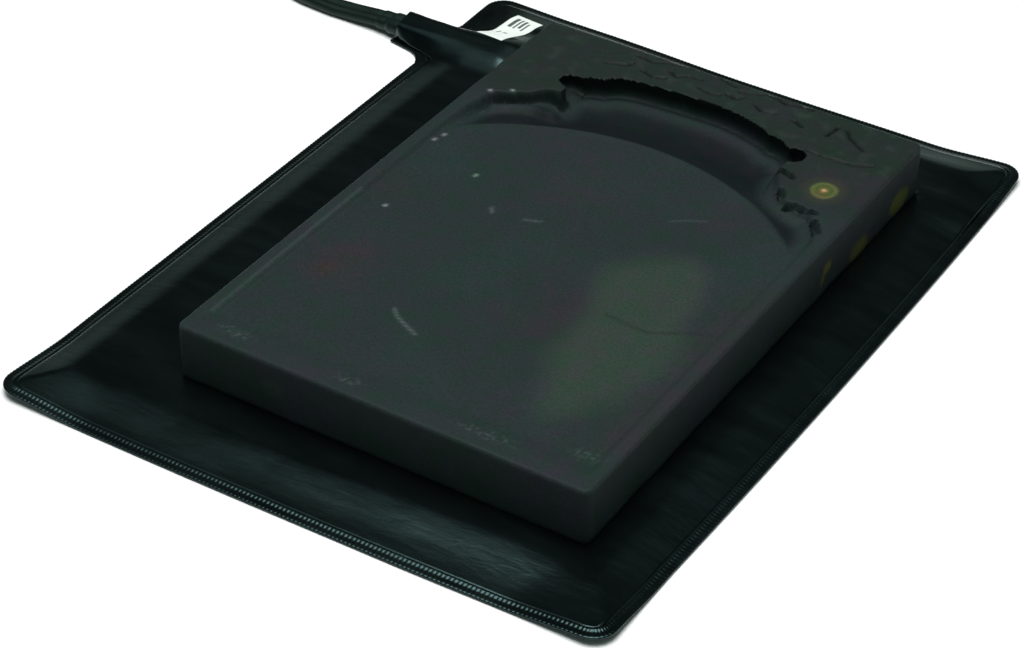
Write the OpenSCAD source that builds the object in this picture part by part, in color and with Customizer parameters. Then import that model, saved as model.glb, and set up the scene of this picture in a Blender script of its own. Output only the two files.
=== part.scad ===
// Inkstone on an electric warming pad, in millimetres.
// Origin: the middle of the pad's underside. +X is to the right, +Y to the back, +Z up.
// The pad lies on the table, the stone lies on the pad, and the cord leaves the pad at the back left.

/* [Inkstone] */
// Width of the stone, left to right
stone_w = 122; // [110:1:124]
// Length of the stone, front to back
stone_l = 180; // [172:1:190]
// Thickness of the stone
stone_h = 16.4; // [15:0.2:20]
// Radius of the stone's upright corners
stone_corner_r = 2; // [2:0.5:6]
// Width of the low rim left and right of the grinding surface
side_rim_w = 4; // [3:0.5:6]
// Width of the low rim in front of the grinding surface
front_rim_w = 7; // [4:0.5:10]
// Depth of the grinding surface below the rim
grind_depth = 1.2; // [0.6:0.1:2]
// Depth of the middle of the ink pond below the stone's top
pond_depth = 7.6; // [6:0.1:9]
// Depth of the left end of the ink pond
pond_end_depth = 5.2; // [3:0.1:6]
// Depth of the shallow right end of the ink pond
pond_right_depth = 3; // [2:0.1:4]
// How far the pond's back wall is cut back under its carved edge
pond_undercut = 1.6; // [0.5:0.1:3]

/* [Warming pad] */
// Width of the pad, left to right
pad_w = 180; // [176:1:200]
// Length of the pad, front to back
pad_l = 240; // [232:1:260]
// Radius of the pad's corners
pad_corner_r = 6.5; // [6:0.5:14]
// Thickness of each vinyl skin
skin_t = 0.45; // [0.3:0.05:0.6]
// Width of the welded band round the pad's edge
weld_w = 4.5; // [3:0.5:6]
// Thickness of each felt layer
felt_t = 1; // [0.95:0.05:1.2]
// Thickness of the heat-spreading foil
foil_t = 0.1; // [0.05:0.05:0.2]
// Diameter of the heating wire over its insulation
wire_d = 0.9; // [0.7:0.1:0.9]
// Number of straight runs of the heating wire, an even number
wire_runs = 14; // [8:2:16]

/* [Cord] */
// Width of the flat two-core cord
cord_w = 7.2; // [6.4:0.1:7.4]
// Thickness of the flat cord
cord_t = 3.6; // [3.2:0.1:3.8]
// Length of the sleeve on the cord
sleeve_l = 28; // [24:1:30]
// Radius of the coil at the middle of its turns
coil_r = 37; // [36:0.5:40]

/* [Plug] */
// Width of the plug's body
plug_w = 22; // [20:1:24]
// Thickness of the plug's body
plug_t = 14; // [12:1:15]
// Length of the plug's body without its tapered tail
plug_l = 24; // [20:1:28]

/* [Hidden] */
$fn = 48;
eps = 0.01;

// Levels of the pad's layers, from the table upwards
felt_z = skin_t;
wire_z = felt_z + felt_t;
foil_z = wire_z + felt_t;
cover_z = foil_z + foil_t;
pad_h = cover_z + skin_t;

// The heating pack: felt, wire and foil, with a notch at the back left for the cord's end
pack_w = pad_w - 28;
pack_l = pad_l - 36;
notch_x = -58;
notch_front_y = 78;
notch_back_y = 96;

// Serpentine of the heating wire
run_right_x = 66;
run_left_x = -54;
run_front_y = -98;
run_back_y = 91;
run_pitch = (run_back_y - run_front_y) / (wire_runs - 1);
bend_r = run_pitch / 2;
margin_x = -70;
wire_centre_z = wire_z + felt_t / 2;
groove_w = wire_d + 0.2;
groove_drop = 0.47;

// The cable ridge and neck: where the cord lies in the pad
cord_y = 86;
cord_z = 3;
neck_end_x = -103.6;
ridge_full_x = -63;
ridge_end_x = -54;
sleeve_core = 2;
sleeve_r = 2.5;
sleeve_end_x = -110.6;
sleeve_start_x = sleeve_end_x + sleeve_l;

// The stone's place on the pad
stone_x = 8.5;
stone_y = -1;
stone_top = pad_h + stone_h;

// The coil, on edge in two layers of turns side by side
coil_x = -139;
coil_y = 149;
tie_t = 0.6;
coil_ring_w = 13.4;
coil_h = 2 * cord_w + 0.2;

// Route of the cord from the pad to the coil: x, y, z and how far the flat cord has turned on edge
lead_route = [
    [-82, 86, 3, 0], [-91, 86, 3, 0], [-100, 86, 3, 0], [-110, 86, 3, 0],
    [-114, 86, 2.8, 0], [-119, 86, 2.3, 0], [-124.5, 86, 1.9, 0], [-130, 86, 1.8, 0],
    [-143, 87.5, 2.2, 10], [-155.5, 93, 2.8, 30], [-166, 101, 3.4, 50],
    [-174, 111.5, 3.8, 70], [-179.5, 124, 4.1, 85], [-181, 137, 4.2, 90], [-181, 149, 4.2, 90]
];

// Route of the cord from the coil to the plug
tail_route = [
    [-139, 191, 11.5, 90], [-132, 191, 11.3, 82], [-125, 191, 10.6, 66], [-118, 191, 9.5, 45],
    [-111, 191, 8.2, 24], [-104, 191, 7.3, 8], [-97, 191, 7, 0], [-88, 191, 7, 0]
];

plug_x = -92;
plug_y = 191;
plug_tail_l = 14;

// ---------------------------------------------------------------- shared shapes

// A rectangle with round corners, centred
module round_rect(w, l, r) {
    union() {
        square([w - 2 * r, l], center = true);
        square([w, l - 2 * r], center = true);
        for (sx = [-1, 1], sy = [-1, 1])
            translate([sx * (w / 2 - r), sy * (l / 2 - r)]) circle(r = r);
    }
}

// A flat slab with round corners that stands on z
module slab(w, l, r, z, h) {
    translate([0, 0, z]) linear_extrude(h) round_rect(w, l, r);
}

// A flat oval, wider than it is high, as a flat cord or its sleeve has
module flat_oval(core, r) {
    square([2 * core, 2 * r], center = true);
    for (side = [-1, 1]) translate([side * core, 0]) circle(r = r, $fn = 24);
}

// A flat oval bar along X
module oval_bar(x0, x1, y, z, core, r) {
    translate([x0, y, z]) rotate([90, 0, 90]) linear_extrude(x1 - x0) flat_oval(core, r);
}

// Round wire through a list of points, with a ball at each bend
module round_wire(points, d) {
    for (i = [0:len(points) - 2]) {
        a = points[i];
        v = points[i + 1] - a;
        translate(a) rotate([0, acos(v.z / norm(v)), atan2(v.y, v.x)]) cylinder(d = d, h = norm(v), $fn = 16);
    }
    if (len(points) > 2)
        for (i = [1:len(points) - 2]) translate(points[i]) sphere(d = d, $fn = 16);
}

// ---------------------------------------------------------------- cord and wire sweep

// Outline of the flat cord: two half rounds side by side
cord_core = (cord_w - cord_t) / 2;
cord_outline = [
    for (side = [1, -1], a = [-90:45:90]) [side * (cord_core + cord_t / 2 * cos(a)), side * cord_t / 2 * sin(a)]
];

// Outlines of the round heating wire and of its square groove, which is open at the top
wire_outline = [for (a = [0:45:315]) wire_d / 2 * [cos(a), sin(a)]];
groove_outline = [[groove_w / 2, -groove_drop], [groove_w / 2, felt_t], [-groove_w / 2, felt_t], [-groove_w / 2, -groove_drop]];

function along(route, i) =
    let (a = route[max(i - 1, 0)], b = route[min(i + 1, len(route) - 1)], v = [b.x - a.x, b.y - a.y, b.z - a.z])
    v / norm(v);

// One ring of the sweep: the outline stands across the route and leans by the route's fourth value
function ring(route, outline, i) =
    let (
        t = along(route, i),
        level = cross(t, [0, 0, 1]) / norm(cross(t, [0, 0, 1])),
        rise = cross(level, t),
        tilt = route[i][3],
        wide = level * cos(tilt) + rise * sin(tilt),
        thin = rise * cos(tilt) - level * sin(tilt),
        centre = [route[i].x, route[i].y, route[i].z]
    )
    [for (p = outline) centre + p.x * wide + p.y * thin];

module sweep(route, outline) {
    n = len(outline);
    last = len(route) - 1;
    points = [for (i = [0:last]) each ring(route, outline, i)];
    sides = [for (i = [0:last - 1], k = [0:n - 1], half = [0, 1])
        half == 0 ? [i * n + k, i * n + (k + 1) % n, (i + 1) * n + k]
                  : [i * n + (k + 1) % n, (i + 1) * n + (k + 1) % n, (i + 1) * n + k]
    ];
    start_cap = [for (k = [n - 1:-1:0]) k];
    end_cap = [for (k = [0:n - 1]) last * n + k];
    polyhedron(points = points, faces = concat(sides, [start_cap], [end_cap]), convexity = 8);
}

// ---------------------------------------------------------------- warming pad

// Lower half of the neck in plan, from inside the pad's edge to its narrow end
module neck_plan() {
    root_x = -pad_w / 2;
    root_half_w = 9.3;
    end_half_w = 5.6;
    polygon([[root_x + 5, cord_y - root_half_w - 1], [root_x, cord_y - root_half_w], [neck_end_x, cord_y - end_half_w],
             [neck_end_x, cord_y + end_half_w], [root_x, cord_y + root_half_w], [root_x + 5, cord_y + root_half_w + 1]]);
}

module bottom_skin() {
    color([0.05, 0.06, 0.06]) union() {
        slab(pad_w, pad_l, pad_corner_r, 0, skin_t);
        linear_extrude(skin_t) neck_plan();
    }
}

// Cross-section of the cable ridge: sloping foot, upright shoulders and a flat oval top
function arch_points(foot, core, r) = concat(
    [[-foot, skin_t]],
    [for (a = [180:-15:90]) [-core + r * cos(a), cord_z + r * sin(a)]],
    [for (a = [90:-15:0]) [core + r * cos(a), cord_z + r * sin(a)]],
    [[foot, skin_t]]
);

module arch(x, foot, core, r) {
    translate([x, cord_y, 0]) rotate([90, 0, 90]) linear_extrude(eps) polygon(arch_points(foot, core, r));
}

// The ridge from the neck's end to where it fades out beside the stone
module ridge(foot_out, foot_in, r) {
    hull() {
        arch(neck_end_x, foot_out, sleeve_core, r);
        arch(-pad_w / 2, foot_in, sleeve_core, r);
    }
    hull() {
        arch(-pad_w / 2, foot_in, sleeve_core, r);
        arch(ridge_full_x, foot_in, sleeve_core, r);
    }
}

module top_skin() {
    outer_r = sleeve_r + 0.05 + skin_t;
    inner_r = sleeve_r + 0.05;
    color([0.06, 0.08, 0.08]) difference() {
        union() {
            slab(pad_w, pad_l, pad_corner_r, skin_t, skin_t);
            hull() {
                slab(pad_w - 2 * weld_w, pad_l - 2 * weld_w, pad_corner_r - 2, 2 * skin_t - eps, eps);
                slab(pad_w - 20, pad_l - 32, pad_corner_r - 3, pad_h - eps, eps);
            }
            ridge(5.6, 9.6, outer_r);
            hull() {
                arch(ridge_full_x, 9.6, sleeve_core, outer_r);
                translate([ridge_end_x, cord_y - 6, pad_h - 2 * eps]) cube([eps, 12, eps]);
            }
        }
        slab(pack_w + 1, pack_l + 1, 4, skin_t - eps, cover_z - skin_t + eps);
        translate([neck_end_x - 1, 0, 0]) oval_bar(0, 25, cord_y, cord_z, sleeve_core, inner_r);
        translate([neck_end_x - 1, cord_y - sleeve_core - inner_r, skin_t - eps])
            cube([25, 2 * (sleeve_core + inner_r), cord_z - skin_t + eps]);
        hull() {
            arch(-pad_w / 2 + 9, 7.5, sleeve_core, inner_r);
            arch(ridge_full_x + 1, 7.5, sleeve_core, inner_r - 0.6);
        }
    }
}

module pack_layer(z, h) {
    difference() {
        slab(pack_w, pack_l, 4, z, h);
        translate([-pad_w / 2, notch_front_y, z - 1])
            cube([pad_w / 2 + notch_x, notch_back_y - notch_front_y, h + 2]);
    }
}

module lower_felt() {
    color([0.85, 0.83, 0.78]) pack_layer(felt_z, felt_t);
}

// Points of one bend of the wire, centred on x, y, from one angle to another
function wire_bend(x, y, from, to) =
    let (steps = 6) [for (k = [0:steps])
        let (a = from + (to - from) * k / steps) [x + bend_r * cos(a), y + bend_r * sin(a), wire_centre_z, 0]];

// The wire's route: down the left margin from the notch, then back and forth across the pad to the notch
wire_route = concat(
    [[margin_x, notch_front_y, wire_centre_z, 0]],
    wire_bend(margin_x + bend_r, run_front_y + bend_r, 180, 270),
    [for (i = [0:wire_runs - 2])
        let (y = run_front_y + (i + 0.5) * run_pitch)
        each (i % 2 == 0 ? wire_bend(run_right_x, y, -90, 90) : wire_bend(run_left_x, y, 270, 90))],
    [[notch_x, run_back_y, wire_centre_z, 0]]
);

// The wire lies in a groove that leaves a thin floor, so that the felt stays one piece
module wire_felt() {
    color([0.88, 0.86, 0.8]) difference() {
        pack_layer(wire_z, felt_t);
        sweep(wire_route, groove_outline);
    }
}

module heating_wire() {
    color([0.75, 0.2, 0.15]) sweep(wire_route, wire_outline);
}

module heat_spreader() {
    color([0.8, 0.81, 0.83]) pack_layer(foil_z, foil_t);
}

// Small flat switch with its rivet, set on felt level beside the wire's end
cutout_x = -72;
cutout_l = 7.5;
cutout_w = 4.6;
cutout_h = 2.6;
cutout_z = 0.6;
cutout_y = 87.2;

module thermal_cutout() {
    color([0.2, 0.2, 0.22]) {
        translate([cutout_x, cutout_y - cutout_w / 2, cutout_z]) cube([cutout_l, cutout_w, cutout_h]);
        translate([cutout_x + cutout_l / 2, cutout_y, cutout_z + cutout_h - eps]) cylinder(d = 2.4, h = 0.5);
    }
}

// The two splices lie side by side where the cord ends
splice_gap = 3.6;
splice_x0 = -82;
splice_l = 7;
crimp_d = 1.8;
splice_sleeve_d = 2.8;
splice_z = 2.2;

module side_by_side() {
    for (side = [-1, 1]) translate([0, cord_y + side * splice_gap / 2, splice_z]) children();
}

module splice_crimps() {
    color([0.8, 0.65, 0.3]) side_by_side()
        translate([splice_x0, 0, 0]) rotate([0, 90, 0]) cylinder(d = crimp_d, h = splice_l);
}

module splice_sleeves() {
    color([0.1, 0.1, 0.1]) side_by_side()
        translate([splice_x0 + 0.5, 0, 0]) rotate([0, 90, 0]) difference() {
            cylinder(d = splice_sleeve_d, h = splice_l - 1);
            translate([0, 0, -1]) cylinder(d = crimp_d, h = splice_l + 1);
        }
}

module neutral_lead() {
    color([0.9, 0.9, 0.88]) round_wire([
        [splice_x0 + splice_l, cord_y - splice_gap / 2, splice_z],
        [margin_x, cord_y - splice_gap / 2 - 2.5, wire_centre_z],
        [margin_x, notch_front_y, wire_centre_z]
    ], wire_d);
}

module live_lead() {
    color([0.9, 0.9, 0.88]) round_wire([
        [splice_x0 + splice_l, cord_y + splice_gap / 2, splice_z],
        [cutout_x, cutout_y, splice_z]
    ], wire_d);
}

module cutout_lead() {
    color([0.9, 0.9, 0.88]) round_wire([
        [cutout_x + cutout_l, cutout_y, wire_centre_z],
        [notch_x, run_back_y, wire_centre_z]
    ], wire_d);
}

// Stuck flat on the upper skin between the ridge and the back edge
module paper_label() {
    color([0.95, 0.95, 0.93])
        translate([-74.5, 103.5, pad_h]) rotate([0, 0, -6]) slab(9.5, 15, 0.5, 0, 0.12);
}

// ---------------------------------------------------------------- cord and plug

// Soft sleeve on the cord, half in the neck, in two steps
module cord_sleeve() {
    step_l = 4;
    color([0.07, 0.07, 0.07]) difference() {
        union() {
            oval_bar(sleeve_end_x + step_l, sleeve_start_x, cord_y, cord_z, sleeve_core, sleeve_r);
            oval_bar(sleeve_end_x, sleeve_end_x + step_l + eps, cord_y, cord_z, sleeve_core, sleeve_r - 0.3);
        }
        oval_bar(sleeve_end_x - 1, sleeve_start_x + 1, cord_y, cord_z, cord_core, cord_t / 2);
    }
}

module cord_lead() {
    color([0.06, 0.06, 0.06]) sweep(lead_route, cord_outline);
}

module cord_coil() {
    color([0.06, 0.06, 0.06]) translate([coil_x, coil_y, tie_t]) rotate_extrude($fn = 64)
        translate([coil_r - coil_ring_w / 2, 0]) square([coil_ring_w, coil_h]);
}

// Band round the coil's section, on the side that faces the pad
module coil_tie() {
    tie_w = 8;
    color([0.15, 0.15, 0.15]) translate([coil_x, coil_y, 0]) rotate([0, 0, -25]) translate([coil_r, 0, 0])
        difference() {
            translate([-coil_ring_w / 2 - 1.2, -tie_w / 2, 0]) cube([coil_ring_w + 2.4, tie_w, coil_h + 2 * tie_t]);
            translate([-coil_ring_w / 2 - 0.4, -tie_w / 2 - 1, tie_t]) cube([coil_ring_w + 0.8, tie_w + 2, coil_h]);
        }
}

module cord_tail() {
    color([0.06, 0.06, 0.06]) sweep(tail_route, cord_outline);
}

// Moulded plug: tapered tail that grips the cord, then a rounded body
module plug_body() {
    z = plug_t / 2;
    body_x = plug_x + plug_tail_l;
    color([0.07, 0.07, 0.07]) union() {
        hull() {
            oval_bar(plug_x, plug_x + 1, plug_y, z, 2, 2.9);
            oval_bar(body_x, body_x + 1, plug_y, z, 3.5, 4.6);
        }
        hull() {
            oval_bar(body_x, body_x + 1, plug_y, z, 3.5, 4.6);
            oval_bar(body_x + 6, body_x + plug_l - 1, plug_y, z, plug_w / 2 - plug_t / 2, plug_t / 2);
            oval_bar(body_x + 6, body_x + plug_l, plug_y, z, plug_w / 2 - plug_t / 2, plug_t / 2 - 1);
        }
    }
}

module plug_blades() {
    blade_l = 17;
    blade_h = 6.3;
    blade_t = 1.5;
    pitch = 12.7;
    color([0.8, 0.68, 0.4]) for (side = [-1, 1])
        translate([plug_x + plug_tail_l + plug_l, plug_y + side * pitch / 2, plug_t / 2])
            difference() {
                translate([0, -blade_t / 2, -blade_h / 2]) cube([blade_l, blade_t, blade_h]);
                translate([blade_l - 4, 0, 0]) rotate([90, 0, 0]) cylinder(d = 3, h = 4, center = true);
            }
}

// ---------------------------------------------------------------- inkstone

// Arc that parts the grinding surface from the pond
lip_r = 75.5;
lip_x = -2;
lip_y = -26;

rim_x = stone_w / 2 - side_rim_w;
pond_foot_y = 15;

// The pond in plan: the lip's arc in front, and the carved, lobed edge behind it
module pond_plan() {
    difference() {
        polygon([
            [-rim_x, pond_foot_y], [rim_x, pond_foot_y], [rim_x, 34], [55, 37.5], [52, 43.5], [46, 44], [42, 43],
            [40, 48.5], [36.5, 49], [36, 52.5], [38.5, 56], [33, 58], [33.5, 63], [36, 67], [33, 69],
            [27, 70.5], [19, 73.5], [12, 76], [-10, 76], [-22, 75.5], [-30, 71.5], [-38, 68], [-41, 64],
            [-37.5, 58], [-45, 54.5], [-52, 49.5], [-55.5, 44], [-rim_x, 38]
        ]);
        translate([lip_x, lip_y]) circle(r = lip_r, $fn = 96);
    }
}

// The pond without its shallow right end
module left_pond_plan() {
    intersection() {
        pond_plan();
        translate([-stone_w / 2, 0]) square([stone_w / 2 + 34, 90]);
    }
}

// The deep middle of the pond, which is cut back under the carved edge
module deep_pond_plan() {
    intersection() {
        pond_plan();
        translate([-44, 0]) square([82, 90]);
    }
    polygon([
        [-36, 60], [-35, 71], [-23, 75.5 + pond_undercut], [-10, 76 + pond_undercut], [13, 76 + pond_undercut],
        [28, 71], [31, 60]
    ]);
}

// The grinding surface in plan, behind the front rim and in front of the lip
module grind_plan() {
    corner_r = 3;
    grind_l = 140;
    front_y = -stone_l / 2 + front_rim_w;
    intersection() {
        translate([0, front_y + grind_l / 2]) round_rect(2 * rim_x, grind_l, corner_r);
        union() {
            translate([lip_x, lip_y]) circle(r = lip_r, $fn = 96);
            translate([-stone_w, front_y - 1]) square([2 * stone_w, -front_y]);
        }
    }
}

// One upright corner of the stone, with its top and bottom edges rounded off
module stone_corner() {
    r = stone_corner_r;
    h = stone_h;
    rotate_extrude($fn = 32) polygon([
        [0, 0], [r - 1, 0], [r - 0.3, 0.3], [r, 1], [r, h - 1.6], [r - 0.45, h - 0.45], [r - 1.6, h], [0, h]
    ]);
}

module inkstone() {
    roof = 2.6;
    color([0.24, 0.23, 0.25]) translate([stone_x, stone_y, pad_h]) difference() {
        hull() for (sx = [-1, 1], sy = [-1, 1])
            translate([sx * (stone_w / 2 - stone_corner_r), sy * (stone_l / 2 - stone_corner_r), 0]) stone_corner();
        translate([0, 0, stone_h - grind_depth]) linear_extrude(grind_depth + 1) grind_plan();
        translate([0, 0, stone_h - pond_right_depth]) linear_extrude(pond_right_depth + 1) pond_plan();
        translate([0, 0, stone_h - pond_end_depth]) linear_extrude(pond_end_depth + 1) left_pond_plan();
        translate([0, 0, stone_h - pond_depth]) linear_extrude(pond_depth - roof) deep_pond_plan();
    }
}

bottom_skin();
lower_felt();
wire_felt();
heating_wire();
heat_spreader();
top_skin();
thermal_cutout();
splice_crimps();
splice_sleeves();
neutral_lead();
live_lead();
cutout_lead();
paper_label();
cord_sleeve();
cord_lead();
cord_coil();
coil_tie();
cord_tail();
plug_body();
plug_blades();
inkstone();
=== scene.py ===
"""An inkstone that lies on an electric warming pad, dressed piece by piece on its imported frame."""
import math

import bmesh
import bpy
import numpy as np
from mathutils import Matrix, Vector, noise


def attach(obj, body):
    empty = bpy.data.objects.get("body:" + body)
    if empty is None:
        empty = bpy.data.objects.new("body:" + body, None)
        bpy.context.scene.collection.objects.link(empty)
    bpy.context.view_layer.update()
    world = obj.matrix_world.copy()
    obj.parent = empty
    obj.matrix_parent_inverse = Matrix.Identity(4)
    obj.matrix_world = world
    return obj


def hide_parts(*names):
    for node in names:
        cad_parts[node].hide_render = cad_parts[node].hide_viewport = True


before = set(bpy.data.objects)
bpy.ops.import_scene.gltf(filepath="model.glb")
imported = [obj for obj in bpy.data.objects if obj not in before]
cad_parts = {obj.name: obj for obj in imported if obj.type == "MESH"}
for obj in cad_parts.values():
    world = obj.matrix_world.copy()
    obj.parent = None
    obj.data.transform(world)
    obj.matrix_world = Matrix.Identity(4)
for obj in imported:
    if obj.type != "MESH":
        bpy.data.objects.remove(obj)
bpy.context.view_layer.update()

# ---------------------------------------------------------------- Camera
# A long lens that looks down on the front right corner of the stone from a little over half a metre away.
# It leans by less than a degree.

aim = Vector((0.006968, -0.025315, 0.003))
azimuth, elevation, lean = (math.radians(a) for a in (31.709, 36.559, 0.934))
backward = Vector((
    math.sin(azimuth) * math.cos(elevation),
    -math.cos(azimuth) * math.cos(elevation),
    math.sin(elevation),
))
rightward = Vector((math.cos(azimuth), math.sin(azimuth), 0))
upward = backward.cross(rightward)
leaning_right = rightward * math.cos(lean) + upward * math.sin(lean)
leaning_up = upward * math.cos(lean) - rightward * math.sin(lean)

lens = bpy.data.cameras.new("camera")
lens.lens = 99.035
lens.sensor_width = 36
camera = bpy.data.objects.new("camera", lens)
camera.matrix_world = Matrix((leaning_right, leaning_up, backward)).transposed().to_4x4()
camera.location = aim + backward * 0.741705
bpy.context.scene.collection.objects.link(camera)
bpy.context.scene.camera = camera
bpy.context.scene.view_settings.view_transform = "Standard"

# ---------------------------------------------------------------- Power cord
# Flat two-core mains cord, two stranded cores side by side in one PVC jacket with a groove down the middle.
# It comes out of the pad's neck, runs over the table and is wound for storage into a coil on edge.


def linear(code):
    """The linear colour of an sRGB hex value."""
    channels = [int(code[i:i + 2], 16) / 255 for i in (0, 2, 4)]
    return [c / 12.92 if c <= 0.04045 else ((c + 0.055) / 1.055) ** 2.4 for c in channels] + [1]


def add_node(material, kind, inputs=None, **settings):
    """Adds one node. Each input takes a number, a colour or another node's output."""
    new = material.node_tree.nodes.new(kind)
    for name, value in settings.items():
        setattr(new, name, value)
    for key, value in (inputs or {}).items():
        if isinstance(value, bpy.types.NodeSocket):
            material.node_tree.links.new(value, new.inputs[key])
        else:
            new.inputs[key].default_value = value
    return new


def grained(name, dark, light, roughness, grain, relief, **sockets):
    """A material whose colour, gloss and fine relief vary with its grain, both in millimetres."""
    material = bpy.data.materials.new(name)
    material.use_nodes = True
    shader = material.node_tree.nodes["Principled BSDF"]
    for socket, value in sockets.items():
        shader.inputs[socket.replace("_", " ")].default_value = value
    place = add_node(material, "ShaderNodeTexCoord").outputs["Object"]
    clouds = add_node(material, "ShaderNodeTexNoise", {"Vector": place, "Scale": 80 / grain, "Detail": 4.0})
    fine = add_node(material, "ShaderNodeTexNoise", {"Vector": place, "Scale": 1000 / grain, "Detail": 3.0})
    shade = add_node(material, "ShaderNodeMix", {
        0: clouds.outputs["Fac"], 6: linear(dark), 7: linear(light),
    }, data_type="RGBA")
    gloss = add_node(material, "ShaderNodeMapRange", {
        "Value": clouds.outputs["Fac"], "From Min": 0.3, "From Max": 0.7,
        "To Min": roughness - 0.06, "To Max": roughness + 0.06,
    })
    bump = add_node(material, "ShaderNodeBump", {
        "Strength": 0.6, "Distance": relief / 1000, "Height": fine.outputs["Fac"],
    })
    links = material.node_tree.links
    links.new(shade.outputs[2], shader.inputs["Base Color"])
    links.new(gloss.outputs["Result"], shader.inputs["Roughness"])
    links.new(bump.outputs["Normal"], shader.inputs["Normal"])
    return material


def wrapped_grid(steps_u, steps_v, place):
    """A grid whose point at u, v, each 0 to 1, moves to place(u, v). Edges that meet are merged."""
    shape = bmesh.new()
    bmesh.ops.create_grid(shape, x_segments=steps_u, y_segments=steps_v, size=0.5)
    for vert in shape.verts:
        vert.co = place(vert.co.x + 0.5, vert.co.y + 0.5)
    bmesh.ops.remove_doubles(shape, verts=shape.verts, dist=0.0005)
    return shape


def add_piece(name, shape, material, body="pad", stands_for=(), closed=True):
    """Makes a piece in metres from a shape in millimetres, with its faces outward, on a body."""
    if closed:
        bmesh.ops.holes_fill(shape, edges=[e for e in shape.edges if e.is_boundary], sides=0)
        bmesh.ops.recalc_face_normals(shape, faces=shape.faces)
    bmesh.ops.scale(shape, vec=(0.001, 0.001, 0.001), verts=shape.verts)
    mesh = bpy.data.meshes.new(name)
    shape.to_mesh(mesh)
    shape.free()
    mesh.materials.append(material)
    mesh.shade_smooth()
    mesh.set_sharp_from_angle(angle=math.radians(55))
    piece = bpy.data.objects.new(name, mesh)
    bpy.context.scene.collection.objects.link(piece)
    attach(piece, body)
    if stands_for:
        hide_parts(*stands_for)
    return piece


def smooth_route(points, steps):
    """Points on one smooth curve that passes through the given ones."""
    last = len(points) - 1
    route = []
    for i in range(last):
        a, b, c, d = (Vector(points[min(max(i + k, 0), last)]) for k in (-1, 0, 1, 2))
        for s in range(steps):
            t = s / steps
            route.append(
                b + (c - a) * (t / 2) + (a * 2 - b * 5 + c * 4 - d) * (t * t / 2)
                + (b * 3 - a - c * 3 + d) * (t ** 3 / 2)
            )
    return route + [Vector(points[last])]


def sweep(route, outline, sizes=None):
    """A bar whose outline follows the route and leans by the route's fourth value, in degrees."""
    last = len(route) - 1
    around = len(outline)
    rings = []
    for i, here in enumerate(route):
        along = (route[min(i + 1, last)] - route[max(i - 1, 0)]).to_3d().normalized()
        level = along.cross(Vector((0, 0, 1))).normalized()
        rise = level.cross(along)
        lean = math.radians(here[3])
        wide = level * math.cos(lean) + rise * math.sin(lean)
        thin = rise * math.cos(lean) - level * math.sin(lean)
        size = sizes[i] if sizes else 1
        rings.append([here.to_3d() + (wide * p[0] + thin * p[1]) * size for p in outline])
    return wrapped_grid(last, around, lambda u, v: rings[round(u * last)][round(v * around) % around])


def twin_lobes(core, radius):
    """Outline of a flat cord: two round lobes that meet in a groove."""
    return [
        (side * (core + radius * math.cos(math.radians(a))), side * radius * math.sin(math.radians(a)))
        for side in (1, -1) for a in range(-140, 141, 28)
    ]


def ease(x, start, end):
    """0 before start, 1 after end, and smooth between them."""
    t = np.clip((x - start) / (end - start), 0, 1)
    return t * t * (3 - 2 * t)


lead_points = [
    (-82, 86, 3, 0), (-91, 86, 3, 0), (-100, 86, 3, 0), (-110, 86, 3, 0),
    (-114, 86, 2.8, 0), (-119, 86, 2.3, 0), (-124.5, 86, 1.9, 0), (-130, 86, 1.8, 0),
    (-143, 87.5, 2.2, 10), (-155.5, 93, 2.8, 30), (-166, 101, 3.4, 50),
    (-174, 111.5, 3.8, 70), (-179.5, 124, 4.1, 85), (-181, 137, 4.2, 90), (-181, 149, 4.2, 90),
]
tail_points = [
    (-139, 191, 11.5, 90), (-132, 191, 11.3, 82), (-125, 191, 10.6, 66), (-118, 191, 9.5, 45),
    (-111, 191, 8.2, 24), (-104, 191, 7.3, 8), (-97, 191, 7, 0), (-88, 191, 7, 0),
]
coil_centre = (-139, 149)
coil_outer_r = 42
coil_turns = 5.25
turn_pitch = 3.65
steps_per_turn = 28

# The lower layer winds inwards, the cord steps up at the inside, and the upper layer winds outwards
coil_points = []
for i in range(1, round(coil_turns * steps_per_turn)):
    turn = i / steps_per_turn
    r = coil_outer_r - turn_pitch * min(turn, coil_turns - turn)
    a = math.pi - 2 * math.pi * turn
    z = 4.2 + 7.3 * float(ease(turn, 2.4, 2.85))
    coil_points.append(Vector((coil_centre[0] + r * math.cos(a), coil_centre[1] + r * math.sin(a), z, 90)))
cord_route = smooth_route(lead_points, 3) + coil_points + smooth_route(tail_points, 3)

# Satin black PVC: a soft sheen with a faint bloom, and a jacket that is slightly uneven from the extruder
cord_pvc = grained("black PVC cord jacket", "0a0e0d", "131a18", 0.42, 0.6, 0.05, IOR=1.53,
                   Specular_IOR_Level=0.3, Specular_Tint=linear("9fd6c8"))
power_cord = add_piece("power_cord", sweep(cord_route, twin_lobes(1.8, 1.8)), cord_pvc,
                       stands_for=("cord_lead", "cord_coil", "cord_tail"))

# ---------------------------------------------------------------- Coil strap
# Woven hook-and-loop strap that holds the coil together where it faces the pad.
# It is wrapped once round the turns and pressed shut.

strap_angle = math.radians(-25)
strap_outward = Vector((math.cos(strap_angle), math.sin(strap_angle), 0))
strap_across = Vector((-math.sin(strap_angle), math.cos(strap_angle), 0))
strap_middle = Vector((*coil_centre, 7.9)) + strap_outward * 37


def squared(value, power):
    """Keeps the sign of a sine or cosine and pushes its size towards 1, which squares a circle."""
    return math.copysign(abs(value) ** power, value)


def strap_point(u, v):
    loop = 2 * math.pi * u
    edge = 2 * math.pi * v
    thick = 7.25 + 0.5 * squared(math.sin(edge), 0.4)
    wide = 4 * squared(math.cos(edge), 0.25)
    out = thick * squared(math.cos(loop), 0.35)
    rise = thick * squared(math.sin(loop), 0.35)
    return strap_middle + strap_outward * out + strap_across * wide + Vector((0, 0, rise))


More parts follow.
